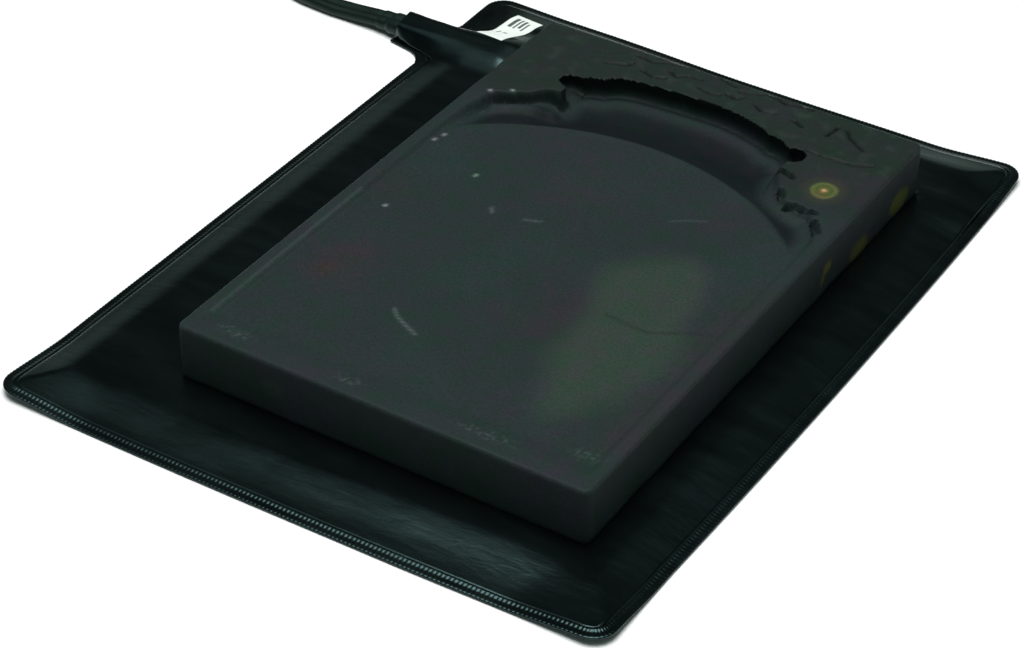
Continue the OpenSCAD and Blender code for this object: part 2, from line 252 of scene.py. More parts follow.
# Woven polyester: matt, with the crossing threads as a fine relief
strap_weave = grained("black woven hook-and-loop", "0d0e10", "1d1f22", 0.85, 0.9, 0.25, Sheen_Weight=0.25)
coil_strap = add_piece("coil_strap", wrapped_grid(64, 24, strap_point), strap_weave,
                       stands_for=("coil_tie",))

# ---------------------------------------------------------------- Plug
# Two-blade plug moulded in one piece with its cord relief. The relief is notched so that it bends,
# and the wide faces have ribs for the fingers.

plug_y, plug_z = 191, 7
plug_sections = [
    (-92, 4.6, 2.9, 0.8), (-90, 4.7, 3, 0.8), (-88.5, 3.9, 2.5, 0.8), (-87, 5.2, 3.3, 0.8),
    (-85.5, 4.3, 2.8, 0.8), (-84, 5.9, 3.8, 0.75), (-82.5, 4.9, 3.2, 0.75), (-81, 6.8, 4.2, 0.7),
    (-79.5, 6.6, 4, 0.7), (-77.5, 8.4, 5, 0.65), (-75, 9.9, 6.1, 0.6), (-72, 10.8, 6.8, 0.55),
    (-66, 11, 7, 0.5), (-60, 11, 7, 0.5), (-56, 10.9, 6.9, 0.5), (-54.6, 10.6, 6.6, 0.5), (-54, 9.9, 5.9, 0.5),
]
plug_rings = smooth_route(plug_sections, 5)


def plug_point(u, v):
    x, half_w, half_h, power = plug_rings[round(u * (len(plug_rings) - 1))]
    a = 2 * math.pi * v
    side = half_w * squared(math.cos(a), power)
    rise = half_h * squared(math.sin(a), power)
    on_grip = float(ease(x, -74, -72) * (1 - ease(x, -61, -59)) * (1 - ease(abs(side), 6, 8)))
    rise *= 1 - 0.07 * on_grip * (0.5 - 0.5 * math.cos(2 * math.pi * x / 2.4))
    return Vector((x, plug_y + side, plug_z + rise))


# Moulded PVC with a spark-eroded, slightly gritty skin
plug_pvc = grained("black moulded PVC", "101214", "1a1c1f", 0.55, 0.5, 0.08, IOR=1.53)
plug_moulding = add_piece("plug_moulding", wrapped_grid(len(plug_rings) - 1, 56, plug_point), plug_pvc,
                          stands_for=("plug_body",))


def paint(material, *names):
    """Gives CAD nodes a material."""
    for name in names:
        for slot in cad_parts[name].material_slots:
            slot.material = material


# Rolled brass, a little dulled by handling
brass = grained("rolled brass", "a98a4c", "c8a964", 0.32, 0.8, 0.02, Metallic=1.0)
paint(brass, "plug_blades", "splice_crimps")

# ---------------------------------------------------------------- Cord sleeve
# Soft PVC sleeve on the cord where it leaves the pad, half inside the welded neck.
# It stops the cord from being bent sharply, and gets smaller in two steps.

sleeve_points = [(-82.6, 1), (-88, 1), (-94, 1), (-100, 1), (-106, 1), (-106.4, 0.96), (-106.8, 0.88),
                 (-108, 0.87), (-110.2, 0.87), (-110.6, 0.83)]
# The middle of the neck, front to back
neck_y = 86
sleeve_route = [Vector((x, neck_y, 3, 0)) for x, size in sleeve_points]
# The same PVC as the cord, but softer and a little glossier
sleeve_pvc = grained("soft black PVC sleeve", "0a100f", "131c1a", 0.36, 0.9, 0.06, IOR=1.53,
                    Specular_IOR_Level=0.3, Specular_Tint=linear("9fd6c8"))
add_piece("cord_bush", sweep(sleeve_route, twin_lobes(2, 2.5), [s for x, s in sleeve_points]),
          sleeve_pvc, stands_for=("cord_sleeve",))

# ---------------------------------------------------------------- Pad surface
# Two skins of soft black-green vinyl, welded all round, over a thin heating pack of felt, wire and foil.
# The functions give the height of the upper skin: flat on the pack, down to the weld, over the cable ridge.

pad_half_w, pad_half_l, pad_corner_r = 90, 120, 6.5
weld_w = 3
pad_top = 3
weld_top = 0.9
neck_length = 13.6
neck_end_x = -pad_half_w - neck_length
stone_place = (8.5, -1)
stone_half_w, stone_half_l, stone_h = 61, 90, 16.4
stone_back = stone_half_l + 1.2


def from_edge(x, y):
    """How far a point lies inside the pad's rounded outline."""
    qx = abs(x) - (pad_half_w - pad_corner_r)
    qy = abs(y) - (pad_half_l - pad_corner_r)
    return pad_corner_r - math.hypot(max(qx, 0), max(qy, 0)) - min(max(qx, qy), 0)


def lift(x, y):
    """How far the thin edge stands off the table: curled at the corners, and slightly wavy."""
    corner = math.hypot(pad_half_w - abs(x), pad_half_l - abs(y))
    curl = (0.5 if x < 0 < y else 1.7) * (1 - float(ease(corner, 2, 30)))
    wave = 0.22 * (1 + noise.noise(Vector((x / 34, y / 34, 3.1)))) * (1 - float(ease(from_edge(x, y), 0, 12)))
    return curl + wave


def drawn(point):
    """The soft outline isn't quite straight: it bows out at the right and draws in at the front and back."""
    right = 1.1 * float(ease(point.x, 55, 86)) * max(0, 1 - ((point.y - 15) / 100) ** 2)
    more_at_right = 1.3 * float(ease(point.x, -50, 70)) + 0.9 * float(ease(point.x, 30, 85))
    front = float(ease(-point.y, 92, 116)) * more_at_right
    back = 1.3 * float(ease(point.y, 92, 116) * ease(point.x, -50, 0))
    return Vector((point.x + right, point.y + front - back, point.z))


def ridge_share(x, y):
    """How much the cord lifts the skin, 0 to 1: tight round it in the neck, wider towards the stone."""
    front_w = 6.8 + 4.8 * float(ease(x, -100, -76))
    back_w = 6.2 + 13 * float(ease(x, -98, -66))
    flat = 0.5 - 0.35 * float(ease(x, -100, -80))
    reach = (neck_y - y) / front_w if y < neck_y else (y - neck_y) / back_w
    return (1 - float(ease(reach, flat, 1))) * (1 - 0.82 * float(ease(x, -68, -54)))


def cover_height(x, y):
    """Top of the upper skin."""
    inside = from_edge(x, y)
    run = min((inside - 2) / 11, (y + pad_half_l - 2.5) / (14 + 5 * float(ease(x, -40, 60))))
    base = weld_top + (pad_top - weld_top) * (min(max(run, 0), 1) + float(ease(run, 0, 1))) / 2
    under = (ease(stone_half_w + 2 - abs(x - stone_place[0]), 0, 3)
             * ease(stone_half_l + 2 - abs(y - stone_place[1]), 0, 3))
    slack = float(ease(inside, weld_w, 12) * (1 - under))
    soft = 0.22 * abs(noise.noise(Vector((x / 30, y / 30, 1.7))))
    crinkle = 0.02 * noise.noise(Vector(((x - y) / 22, (x + y) / 6, 5.2)))
    near_front = 0.35 + float(ease(-y, 84, 100))
    z = base + slack * (soft + crinkle * near_front)
    z += (6.1 + 0.18 * min(max(y - neck_y, -6), 4) - base) * ridge_share(x, y)
    z += lift(x, y)
    return z * (1 - under) + min(z, pad_top - 0.04) * under


def plan_point(u, v, inset, z_of):
    """Spreads a square grid over the pad's rounded outline, less an inset, and out along the neck."""
    half_w, half_l = pad_half_w - inset, pad_half_l - inset
    r = max(pad_corner_r - inset * 0.6, 3)
    x, y = (2 * u - 1) * half_w, (2 * v - 1) * half_l
    a = (abs(x) - (half_w - r)) / r
    b = (abs(y) - (half_l - r)) / r
    if a > 0 and b > 0:
        x = math.copysign(half_w - r + r * a * math.sqrt(1 - b * b / 2), x)
        y = math.copysign(half_l - r + r * b * math.sqrt(1 - a * a / 2), y)
    beside_cord = 1 - float(ease(abs(y - neck_y), 4.2, 9))
    neck_run = -neck_end_x - half_w
    x -= neck_run * beside_cord * float(ease(-x, 66, half_w))
    z = z_of(x, y)
    if u < 0.001:
        z = min(z, weld_top + lift(x, y))
    return drawn(Vector((x, y, z)))


# Calendered PVC sheet: near black with a green cast, glossy but smeared, with fine drawn-out wrinkles
vinyl = bpy.data.materials.new("black-green calendered vinyl")
vinyl.use_nodes = True
vinyl_shader = vinyl.node_tree.nodes["Principled BSDF"]
vinyl_shader.inputs["IOR"].default_value = 1.53
vinyl_shader.inputs["Specular Tint"].default_value = linear("9ccbcd")
vinyl_place = add_node(vinyl, "ShaderNodeTexCoord").outputs["Object"]
drawn_out = add_node(vinyl, "ShaderNodeMapping", {
    "Vector": vinyl_place, "Rotation": (0, 0, math.radians(38)), "Scale": (1, 3.5, 1),
})
# Smears are 15 to 40 mm long, wrinkles about 5 mm, and the embossed skin about 0.7 mm
smears = add_node(vinyl, "ShaderNodeTexNoise", {
    "Vector": drawn_out.outputs["Vector"], "Scale": 30.0, "Detail": 5.0, "Roughness": 0.6,
})
wrinkles = add_node(vinyl, "ShaderNodeTexNoise", {
    "Vector": drawn_out.outputs["Vector"], "Scale": 110.0, "Detail": 4.0, "Distortion": 0.6,
})
skin_grain = add_node(vinyl, "ShaderNodeTexNoise", {"Vector": vinyl_place, "Scale": 1400.0, "Detail": 2.0})
vinyl_shade = add_node(vinyl, "ShaderNodeMix", {
    0: smears.outputs["Fac"], 6: linear("040606"), 7: linear("080c0c"),
}, data_type="RGBA")
vinyl_gloss = add_node(vinyl, "ShaderNodeMapRange", {
    "Value": smears.outputs["Fac"], "From Min": 0.35, "From Max": 0.65, "To Min": 0.14, "To Max": 0.25,
})
wrinkle_bump = add_node(vinyl, "ShaderNodeBump", {
    "Strength": 0.5, "Distance": 0.00012, "Height": wrinkles.outputs["Fac"],
})
grain_bump = add_node(vinyl, "ShaderNodeBump", {
    "Strength": 0.25, "Distance": 0.00004, "Height": skin_grain.outputs["Fac"],
    "Normal": wrinkle_bump.outputs["Normal"],
})
vinyl.node_tree.links.new(vinyl_shade.outputs[2], vinyl_shader.inputs["Base Color"])
vinyl.node_tree.links.new(vinyl_gloss.outputs["Result"], vinyl_shader.inputs["Roughness"])
vinyl.node_tree.links.new(grain_bump.outputs["Normal"], vinyl_shader.inputs["Normal"])


def thicken(piece, thickness, side):
    """Gives an open sheet its thickness, in millimetres, below it (-1) or above it (1)."""
    wall = piece.modifiers.new("thickness", "SOLIDIFY")
    wall.thickness = thickness / 1000
    wall.offset = side


# ---------------------------------------------------------------- Pad cover
# The upper vinyl skin, drawn over the heating pack. It is slack enough to lie in soft waves round the stone,
# and is pulled tight over the cord at the back left.

pad_cover = add_piece(
    "pad_cover", wrapped_grid(150, 264, lambda u, v: plan_point(u, v, weld_w, cover_height)), vinyl,
    stands_for=("top_skin",), closed=False,
)
thicken(pad_cover, 0.45, -1)

# ---------------------------------------------------------------- Pad base
# The lower vinyl skin, which lies on the table and follows the curled corners.

pad_base = add_piece(
    "pad_base", wrapped_grid(60, 120, lambda u, v: plan_point(u, v, weld_w, lambda x, y: 0.03 + lift(x, y))),
    vinyl, stands_for=("bottom_skin",), closed=False,
)
thicken(pad_base, 0.45, 1)

# ---------------------------------------------------------------- Weld
# High-frequency weld that joins the skins all round. The electrode leaves fine cross ribs 1.2 mm apart,
# from the cut edge to the padded part. It runs out along both sides of the neck.

rib_pitch = 1.2


def neck_half_w(x):
    """Half the neck's width, which flares like a trumpet into the pad's edge."""
    t = min(max((x - neck_end_x) / neck_length, 0), 1)
    return 6 + 2.6 * t + 4.4 * t ** 7


def weld_outline():
    """The cut edge, from one side of the neck's end round the pad to the other, in even short steps."""
    neck = [neck_end_x + neck_length * i / 16 for i in range(17)]
    corners = [(1, 1, 90), (1, -1, 0), (-1, -1, -90)]
    rough = [Vector((x, neck_y + neck_half_w(x), 0)) for x in neck] + [Vector((-pad_half_w, neck_y + 20, 0))]
    for side_x, side_y, start in [(-1, 1, 180)] + corners:
        for step in range(9):
            a = math.radians(start - step * 90 / 8)
            rough.append(Vector((
                side_x * (pad_half_w - pad_corner_r) + pad_corner_r * math.cos(a),
                side_y * (pad_half_l - pad_corner_r) + pad_corner_r * math.sin(a),
                0,
            )))
    rough.append(Vector((-pad_half_w, neck_y - 20, 0)))
    rough += [Vector((x, neck_y - neck_half_w(x), 0)) for x in reversed(neck)]
    lengths = np.cumsum([0] + [(b - a).length for a, b in zip(rough, rough[1:])])
    count = round(lengths[-1] / (rib_pitch / 4))
    even = np.linspace(0, lengths[-1], count + 1)
    xs = np.interp(even, lengths, [p.x for p in rough])
    ys = np.interp(even, lengths, [p.y for p in rough])
    return [Vector((x, y, 0)) for x, y in zip(xs, ys)]


weld_route = weld_outline()
weld_profile = [(0, 0.42), (0.1, 0.1), (0.5, 0), (4.4, 0), (4.4, 0.5), (3.15, 0.96), (2.75, 0.94), (2.35, 0.8),
                (2.05, 0.72), (1.5, 0.7), (0.9, 0.7), (0.4, 0.68), (0.1, 0.6)]
ribbed = {7: 0.07, 8: 0.03, 9: 0.015, 10: 0.015, 11: 0.02, 12: 0.06}


def weld_point(u, v):
    last = len(weld_route) - 1
    i = round(u * last)
    k = round(v * len(weld_profile)) % len(weld_profile)
    along = (weld_route[min(i + 2, last)] - weld_route[max(i - 2, 0)]).normalized()
    inward = Vector((along.y, -along.x, 0))
    inset, z = weld_profile[k]
    z += ribbed.get(k, 0) * (-1, 0, 1, 0)[i % 4]
    spot = weld_route[i] + inward * inset
    return drawn(Vector((spot.x, spot.y, z + lift(weld_route[i].x, weld_route[i].y))))


add_piece("weld_band", wrapped_grid(len(weld_route) - 1, len(weld_profile), weld_point), vinyl)

# ---------------------------------------------------------------- Label
# A strip of white coated paper stuck on the upper skin behind the cable ridge. Its front end climbs it.
# Faint printed bars stand for its marks.

label_w, label_l = 9.5, 21
label_turn = math.radians(-5)


def label_point(u, v):
    across, along = (u - 0.5) * label_w, (v - 0.5) * label_l
    x = -73.4 + across * math.cos(label_turn) - along * math.sin(label_turn)
    y = 100.8 + across * math.sin(label_turn) + along * math.cos(label_turn)
    return Vector((x, y, cover_height(x, y) + 0.16))


# Coated paper: nearly white, with a faint fibre relief, and grey bars of thin print
label_paper = grained("white coated paper", "dfe6df", "f0f3ee", 0.55, 0.4, 0.02, IOR=1.5)
label = add_piece("label", wrapped_grid(30, 66, label_point), label_paper,
                  stands_for=("paper_label",), closed=False)
bars = [(0.20, 0.30, 0.62, 0.90), (0.38, 0.44, 0.62, 0.90), (0.52, 0.60, 0.66, 0.90), (0.68, 0.76, 0.62, 0.86),
        (0.24, 0.30, 0.30, 0.42), (0.44, 0.60, 0.34, 0.38)]
ink = label.data.attributes.new("ink", "FLOAT", "POINT")
for i in range(len(ink.data)):
    u, v = (i % 31) / 30, (i // 31) / 66
    ink.data[i].value = 1.0 if any(a <= u <= b and c <= v <= d for a, b, c, d in bars) else 0.0
label_shader = label_paper.node_tree.nodes["Principled BSDF"]
label_white = label_shader.inputs["Base Color"].links[0].from_socket
printed = add_node(label_paper, "ShaderNodeAttribute", attribute_name="ink")
label_print = add_node(label_paper, "ShaderNodeMix", {
    0: printed.outputs["Fac"], 6: label_white, 7: linear("4c5350"),
}, data_type="RGBA")
label_paper.node_tree.links.new(label_print.outputs[2], label_shader.inputs["Base Color"])
thicken(label, 0.12, -1)

# ---------------------------------------------------------------- Heating pack
# What lies between the skins: two felts with the silicone-covered heating wire in a groove, a foil that
# spreads the heat, and the cut-out and splices in a notch where the cord ends.

# Needled polyester felt, loose and matt
felt = grained("needled polyester felt", "b9b2a2", "d8d2c4", 0.95, 1.2, 0.5, Sheen_Weight=0.3)
# Silicone rubber insulation, smooth and faintly waxy
silicone = grained("silicone wire insulation", "c9c3b6", "e0dbd0", 0.4, 0.5, 0.02)
# Bright rolled aluminium foil, crinkled by hand
foil = grained("rolled aluminium foil", "c6c9cc", "dddfe1", 0.22, 3.0, 0.25, Metallic=1.0)
# Glass-filled phenolic case of the cut-out
phenolic = grained("moulded phenolic", "1c1c20", "2b2b30", 0.5, 0.3, 0.03)
# Shrunk polyolefin tubes over the splices
polyolefin = grained("shrunk polyolefin tube", "101113", "1c1e20", 0.45, 0.5, 0.03)
paint(felt, "lower_felt", "wire_felt")
paint(silicone, "heating_wire", "neutral_lead", "live_lead", "cutout_lead")
paint(foil, "heat_spreader")
paint(phenolic, "thermal_cutout")
paint(polyolefin, "splice_sleeves")

# ---------------------------------------------------------------- Inkstone
# A slab of dark slate, sawn and honed, with a shallow grinding surface and a crescent ink pond carved
# behind it. The pond's back wall is cut in under a ragged edge, and the border behind it is engraved.

arris = 1
side_corner_r = 2.2
rim_x = stone_half_w - 4
grind_front_y = -83
grind_depth = 1.2
pond_extra_depth = 6.2
lip_x, lip_y, lip_r = -2, -26, 75.5

# The carved edge of the pond in plan, from the front left corner round the back to the front right
pond_edge = [
    (-57, 15), (-57, 27), (-56.7, 33), (-56.5, 39), (-55.3, 44), (-54.5, 47.5), (-52.5, 49.5), (-49.5, 50.5),
    (-47.5, 52.6), (-45, 53.8), (-43.5, 56), (-41.5, 58), (-39, 58.9), (-37.6, 58.2), (-37.8, 62),
    (-39.5, 62.6), (-41.4, 64), (-41.6, 66.3), (-40, 68), (-37.8, 68.4), (-36, 68.3), (-34.5, 70),
    (-32.5, 70.6), (-30.5, 71.2), (-29, 73), (-26.7, 74.4), (-22.3, 75.5), (-15, 76.2), (-8.9, 76.6),
    (-2, 76.9), (4.5, 76.9), (10, 76.2), (14, 75.2), (19.6, 73.4), (22.5, 71.5), (25, 71.3), (27.6, 70.6),
    (29.3, 69), (31, 68.4), (32.5, 69.4), (34.8, 69.2), (36.4, 67.5), (36.4, 64.8), (35, 63.2), (33.2, 62.6),
    (32.8, 60), (33.4, 57.5), (35, 54), (36.6, 51), (38.4, 48), (41, 45.4), (45, 43.6), (50.6, 42.6),
    (53.4, 39.6), (55.8, 35.6), (57, 32), (57, 15),
]
# Small pockets cut into the soft right end of the pond
pockets = [
    [(33, 57.6), (35.2, 57.2), (38, 56)], [(38, 49), (39, 48), (40.2, 46.2)],
    [(42.8, 43.4), (45, 44.4), (48, 43.7), (51.2, 44)], [(52.8, 40.2), (54.2, 38.6), (55.8, 36.2)],
]
# Engraved strokes in the back border
strokes = [
    [(-29.4, 88), (-24, 87.3), (-19.6, 89.6), (-16, 89.8)], [(-1.8, 90), (2.7, 88.6)],
    [(5.3, 87.2), (8, 87.7), (12.5, 90), (16, 89.5), (19.6, 88.1), (24, 90), (27.2, 89.5)],
    [(-17, 85.5), (-14.2, 84), (-11.6, 86.4), (-7.1, 86.4)], [(-34.7, 79.7), (-29.4, 82), (-28.5, 83.7)],
    [(25, 82), (28.5, 80)], [(37.4, 85.5), (36.5, 80)], [(40, 85.5), (42.7, 82), (48, 78.8)],
    [(2.5, 84), (6, 83), (7.5, 85)], [(-6, 82.5), (-2, 81.6), (1, 82.4)], [(12, 83), (15, 81), (19, 82.2)],
    [(-24, 81.5), (-20, 80.2), (-16.5, 81.6)], [(35.6, 70.3), (42.7, 69.9), (49, 70.3), (54.3, 73)],
]


def from_line(x, y, line):
    """Distance from each point to a line of points, and the nearest point on it."""
    best = np.full(x.shape, 1e9)
    near_x, near_y = np.zeros_like(x), np.zeros_like(x)
    for (ax, ay), (bx, by) in zip(line, line[1:]):
        dx, dy = bx - ax, by - ay
        t = np.clip(((x - ax) * dx + (y - ay) * dy) / (dx * dx + dy * dy), 0, 1)
        px, py = ax + t * dx, ay + t * dy
        gap = np.hypot(x - px, y - py)
        closer = gap < best
        best = np.where(closer, gap, best)
        near_x = np.where(closer, px, near_x)
        near_y = np.where(closer, py, near_y)
    return best, near_x, near_y


def within(x, y, line):
    """Whether each point lies inside a closed line."""
    inside = np.zeros(x.shape, bool)
    for (ax, ay), (bx, by) in zip(line, line[1:] + line[:1]):
        if ay != by:
            inside ^= ((ay > y) != (by > y)) & (x < (bx - ax) * (y - ay) / (by - ay) + ax)
    return inside


def clouded(x, y, size, seed):
    """Soft noise over the stone, about -1 to 1, with patches of that size in millimetres."""
    return np.array([noise.noise(Vector((a / size, b / size, seed))) for a, b in zip(x, y)]) * 1.6


def outward_of(point):
    """The level direction straight out of the stone's rounded outline."""
    core_w = stone_half_w - side_corner_r
    core_front, core_back = side_corner_r - stone_half_l, stone_back - side_corner_r
    out = Vector((
        point.x - min(max(point.x, -core_w), core_w),
        point.y - min(max(point.y, core_front), core_back),
        0,
    ))
    return out.normalized()


# The top starts as a grid with closer rows where the pond is carved
rows, columns, coarse_rows = 280, 216, 150
stone = bmesh.new()
bmesh.ops.create_grid(stone, x_segments=columns, y_segments=rows, size=0.5)
flat_w, flat_l, flat_r = stone_half_w - arris, stone_half_l - arris, side_corner_r - arris
flat_back = stone_back - arris
for vert in stone.verts:
    x = 2 * vert.co.x * flat_w
    row = (vert.co.y + 0.5) * rows
    if row < coarse_rows:
        y = -flat_l + (flat_l + 34) * row / coarse_rows
    else:
        y = 34 + (flat_back - 34) * (row - coarse_rows) / (rows - coarse_rows)
    a = (abs(x) - (flat_w - flat_r)) / flat_r
    core_l = (flat_back if y > 0 else flat_l) - flat_r
    b = (abs(y) - core_l) / flat_r
    if a > 0 and b > 0:
        x = math.copysign(flat_w - flat_r + flat_r * a * math.sqrt(1 - b * b / 2), x)
        y = math.copysign(core_l + flat_r * b * math.sqrt(1 - a * a / 2), y)
    vert.co = (x, y, 0)

plan = np.array([vert.co[:] for vert in stone.verts])
x, y = plan[:, 0], plan[:, 1]
gap, near_x, near_y = from_line(x, y, pond_edge)
in_pond = np.where(within(x, y, pond_edge), gap, -gap)
in_grind = np.minimum((rim_x - np.abs(x)) * 0.7, (y - grind_front_y) * 0.22)
in_grind = np.minimum(in_grind, 22 - y)
past_lip = np.hypot(x - lip_x, y - lip_y) - lip_r
recess = np.maximum(in_grind, in_pond)

# The back wall is steep and cut under; elsewhere the carved edge is a short slope
undercut = ease(near_y, 60, 64) * (near_y > 59)
right_end = ease(x, 27, 36) * (y < 63)
left_end = ease(-x, 52, 56) * (y < 50)
wall_w = 1.1 + 1.1 * undercut + 5 * right_end * (1 - undercut) + 4 * left_end
down = np.clip(in_pond / wall_w, 0, 1)
trough = 1 - (1 - np.clip((past_lip + 0.6) / 17, 0, 1)) ** 2
trough *= 1 - 0.12 * (1 - ease(in_pond, 3, 9))
trough *= (1 - 0.5 * right_end) * (0.5 + 0.5 * ease(x, -43, -34))
z = -grind_depth * ease(recess, -0.5, 1.2)
z = z - pond_extra_depth * trough * np.where(in_pond > 0, ease(down, -0.1, 1), 0)
z = z - 0.35 * ease(rim_x - np.abs(x), 3, 50) * ease(y - grind_front_y, 4, 60) * (1 - ease(past_lip, -3, 1))
ledge = from_line(x, y, [(-51.6, 45), (-46, 48.6), (-37, 53)])[0]
z = z + 1.7 * np.exp(-(ledge / 2.2) ** 2) * ease(in_pond, 1, 2.2)
for pocket in pockets:
    hole = from_line(x, y, pocket)[0] + 0.25 * clouded(x, y, 1.6, 3.0)
    z = z - 2.8 * (1 - ease(hole, 0.35, 1.25))

# The border behind the pond is carved in low relief, and each stroke is a small groove
border = (1 - ease(recess, -1.5, 0)) * ease(y, 40, 56)
plain = ease(x, 33, 37) * (1 - ease(y, 68.5, 71.5))
z = z + border * (1 - plain) * (0.22 * clouded(x, y, 7, 1.0) + 0.1 * clouded(x, y, 2.2, 2.0) - 0.05)
for stroke in strokes:
    groove = from_line(x, y, stroke)[0]
    z = z - 0.6 * np.exp(-(groove / 0.48) ** 2)
# Old ink and chipping roughen the front rim
crust = np.zeros_like(x)
for patch_x, patch_y, patch_r in [(-46, -84, 7), (-12, -84.5, 6), (29, -84, 11), (53, -77, 6)]:
    spot = np.hypot((x - patch_x) / patch_r, (y - patch_y) / 2.6)
    crust = np.maximum(crust, 1 - ease(spot, 0.4, 1.1))
z = z + crust * 0.16 * clouded(x, y, 0.9, 4.0)

# Points of the undercut wall move out from the pond, and those beyond its foot follow less and less
shift = in_pond + 1.3 * np.sin(math.pi * down)
shift = np.where(in_pond < wall_w, shift, wall_w * (1 - ease(in_pond, wall_w, wall_w + 7)))
shift = np.where(in_pond > 0, shift, 0) * undercut
away = np.maximum(gap, 0.05)
x = x + (near_x - x) / away * shift
y = y + (near_y - y) / away * shift
for vert, px, py, pz in zip(stone.verts, x, y, z):
    vert.co = (px, py, pz)

# The boundary goes over the top arris, down the sides and round the lower arris, which is uneven
side_rings = [(arris * math.sin(math.radians(a)), arris * math.cos(math.radians(a)) - arris)
              for a in (22.5, 45, 67.5, 90)]
side_rings += [(arris, -arris - (stone_h - arris - 1.2) * (i + 1) / 14) for i in range(14)]
side_rings += [(arris - 0.12, -stone_h + 0.25), (arris - 0.45, -stone_h)]
loop = [edge for edge in stone.edges if edge.is_boundary]
side_verts = []
before_out, before_z = 0, 0
for out, level in side_rings:
    grown = bmesh.ops.extrude_edge_only(stone, edges=loop)["geom"]
    for vert in (g for g in grown if isinstance(g, bmesh.types.BMVert)):
        vert.co += outward_of(vert.co) * (out - before_out)
        vert.co.z += level - before_z
        side_verts.append(vert)
    loop = [g for g in grown if isinstance(g, bmesh.types.BMEdge) and g.is_boundary]
    before_out, before_z = out, level
for vert in side_verts:
    low = float(ease(-vert.co.z, 8, stone_h))
    vert.co += outward_of(vert.co) * (0.3 * low * noise.noise(vert.co / 15) + 0.06 * noise.noise(vert.co / 3))
bmesh.ops.translate(stone, vec=(*stone_place, pad_top + stone_h), verts=stone.verts)

# ---------------------------------------------------------------- Inkstone colours
# Purple-grey slate with a leaf-shaped green patch, small ringed eyes, stains, a vein and a few scratches.
# They are painted on the points, with painted shade in the pond, in the strokes and on the sides, and the
# material adds the fine grain.

slate = bpy.data.materials.new("honed purple-grey slate")
inkstone_body = add_piece("inkstone_body", stone, slate, body="stone", stands_for=("inkstone",))
spots = np.array([v.co[:] for v in inkstone_body.data.vertices]) * 1000 - np.array(
    [*stone_place, pad_top + stone_h])
x, y, z = spots[:, 0], spots[:, 1], spots[:, 2]
on_side = z < -arris * 0.8
on_side &= (np.abs(x) > stone_half_w - 1.2) | (np.abs(y) > stone_half_l - 1.2)
top = ~on_side
tint = np.tile(np.array(linear("2e3b39")[:3]), (len(x), 1))


def stain(share, code):
    """Mixes a colour in where share is above 0."""
    global tint
    share = np.clip(share, 0, 1)[:, None]
    tint = tint * (1 - share) + np.array(linear(code)[:3]) * share


drift = clouded(x, y, 14, 7.0)
small = clouded(x, y, 4, 8.0)
stain(0.55 * ease(clouded(x, y, 26, 5.0), -0.2, 0.9), "35383f")
stain(0.5 * ease(clouded(x, y, 20, 6.0), 0.0, 0.9), "2f403e")
leaf = [(34, 11), (22, 4), (15, -5), (16, -16), (18, -27), (20, -40), (23, -50), (27, -60), (31, -67),
        (37, -69), (43, -66), (48, -56), (52, -40), (52, -26), (49, -10), (44, 5), (34, 11)]
leaf_gap = from_line(x, y, leaf)[0]
leaf_in = np.where(within(x, y, leaf), leaf_gap, -leaf_gap) + 2.5 * drift
stain(top * 0.85 * ease(leaf_in, -4, 9), "404f45")
for stain_x, stain_y, stain_r, share, code in [
    (13, -34, 13, 0.45, "3b3439"), (-52, -5, 9, 0.4, "3d343a"), (-41, -44, 11, 0.45, "41373a"),
    (-44.5, -47.5, 3.2, 0.4, "4b352f"), (-8, 20, 16, 0.3, "3c3a40"), (30, 33, 12, 0.35, "3a373d"),
]:
    reach = np.hypot(x - stain_x, (y - stain_y) * 0.8) / stain_r + 0.25 * drift
    stain(top * share * (1 - ease(reach, 0.2, 1.1)), code)
stain(top * 0.28 * ease(x, 49, 54) * (1 - ease(y, 2, 12)) * ease(y, -78, -70), "403539")
stain(top * 0.85 * ease(y, 40, 58) * (1 - ease(np.abs(z + 0.1), 0.8, 1.6)), "28332e")
stain(top * 0.6 * ease(small, 0.1, 1) * ease(y, 56, 66) * (z > -1), "34443b")
# Painted shade: each engraved stroke's groove is painted near black
for stroke in strokes:
    stain(top * 0.92 * np.exp(-(from_line(x, y, stroke)[0] / 0.55) ** 2), "070b0a")
stain(top * 0.45 * ease(x, 33, 40) * ease(y, 50, 58) * (1 - ease(y, 67, 71)) * (z > -1), "38353b")
vein_gap = from_line(x, y, [(27, -25), (40, -26), (49, -20.5), (55, -18)])[0]
stain(top * 0.5 * np.exp(-(vein_gap / 0.6) ** 2), "28302c")
for scratch, code, share in [
    ([(-19.6, -52.5), (-17.5, -54.6), (-15, -56), (-9, -58.8)], "6f7a7a", 0.65),
    ([(-23.6, 0), (-22.3, -1.8)], "77807f", 0.6), ([(-13.4, 0), (-9, 1.8)], "68706f", 0.5),
    ([(20, 21), (24, 24), (28, 26)], "5c6464", 0.35), ([(-57, -80), (-57.2, -13)], "4d5a59", 0.6),
]:
    stain(top * share * np.exp(-(from_line(x, y, scratch)[0] / 0.45) ** 2), code)
for fleck_x, fleck_y in [(-54, 23), (-55, 19.6), (-55, 48.3), (-49.6, 51.8), (-35.6, 10.7), (-48, -15)]:
    stain(top * np.exp(-(np.hypot(x - fleck_x, y - fleck_y) / 0.55) ** 2), "a9b3ae")
crusted = np.zeros_like(x)
for patch_x, patch_y, patch_r in [(-46, -84, 7), (-12, -84.5, 6), (29, -84, 11), (53, -77, 6)]:
    spot = np.hypot((x - patch_x) / patch_r, (y - patch_y) / 2.6)
    crusted = np.maximum(crusted, 1 - ease(spot, 0.4, 1.1))
stain(top * 0.7 * crusted * ease(clouded(x, y, 0.9, 4.0), -0.1, 0.7), "53605c")
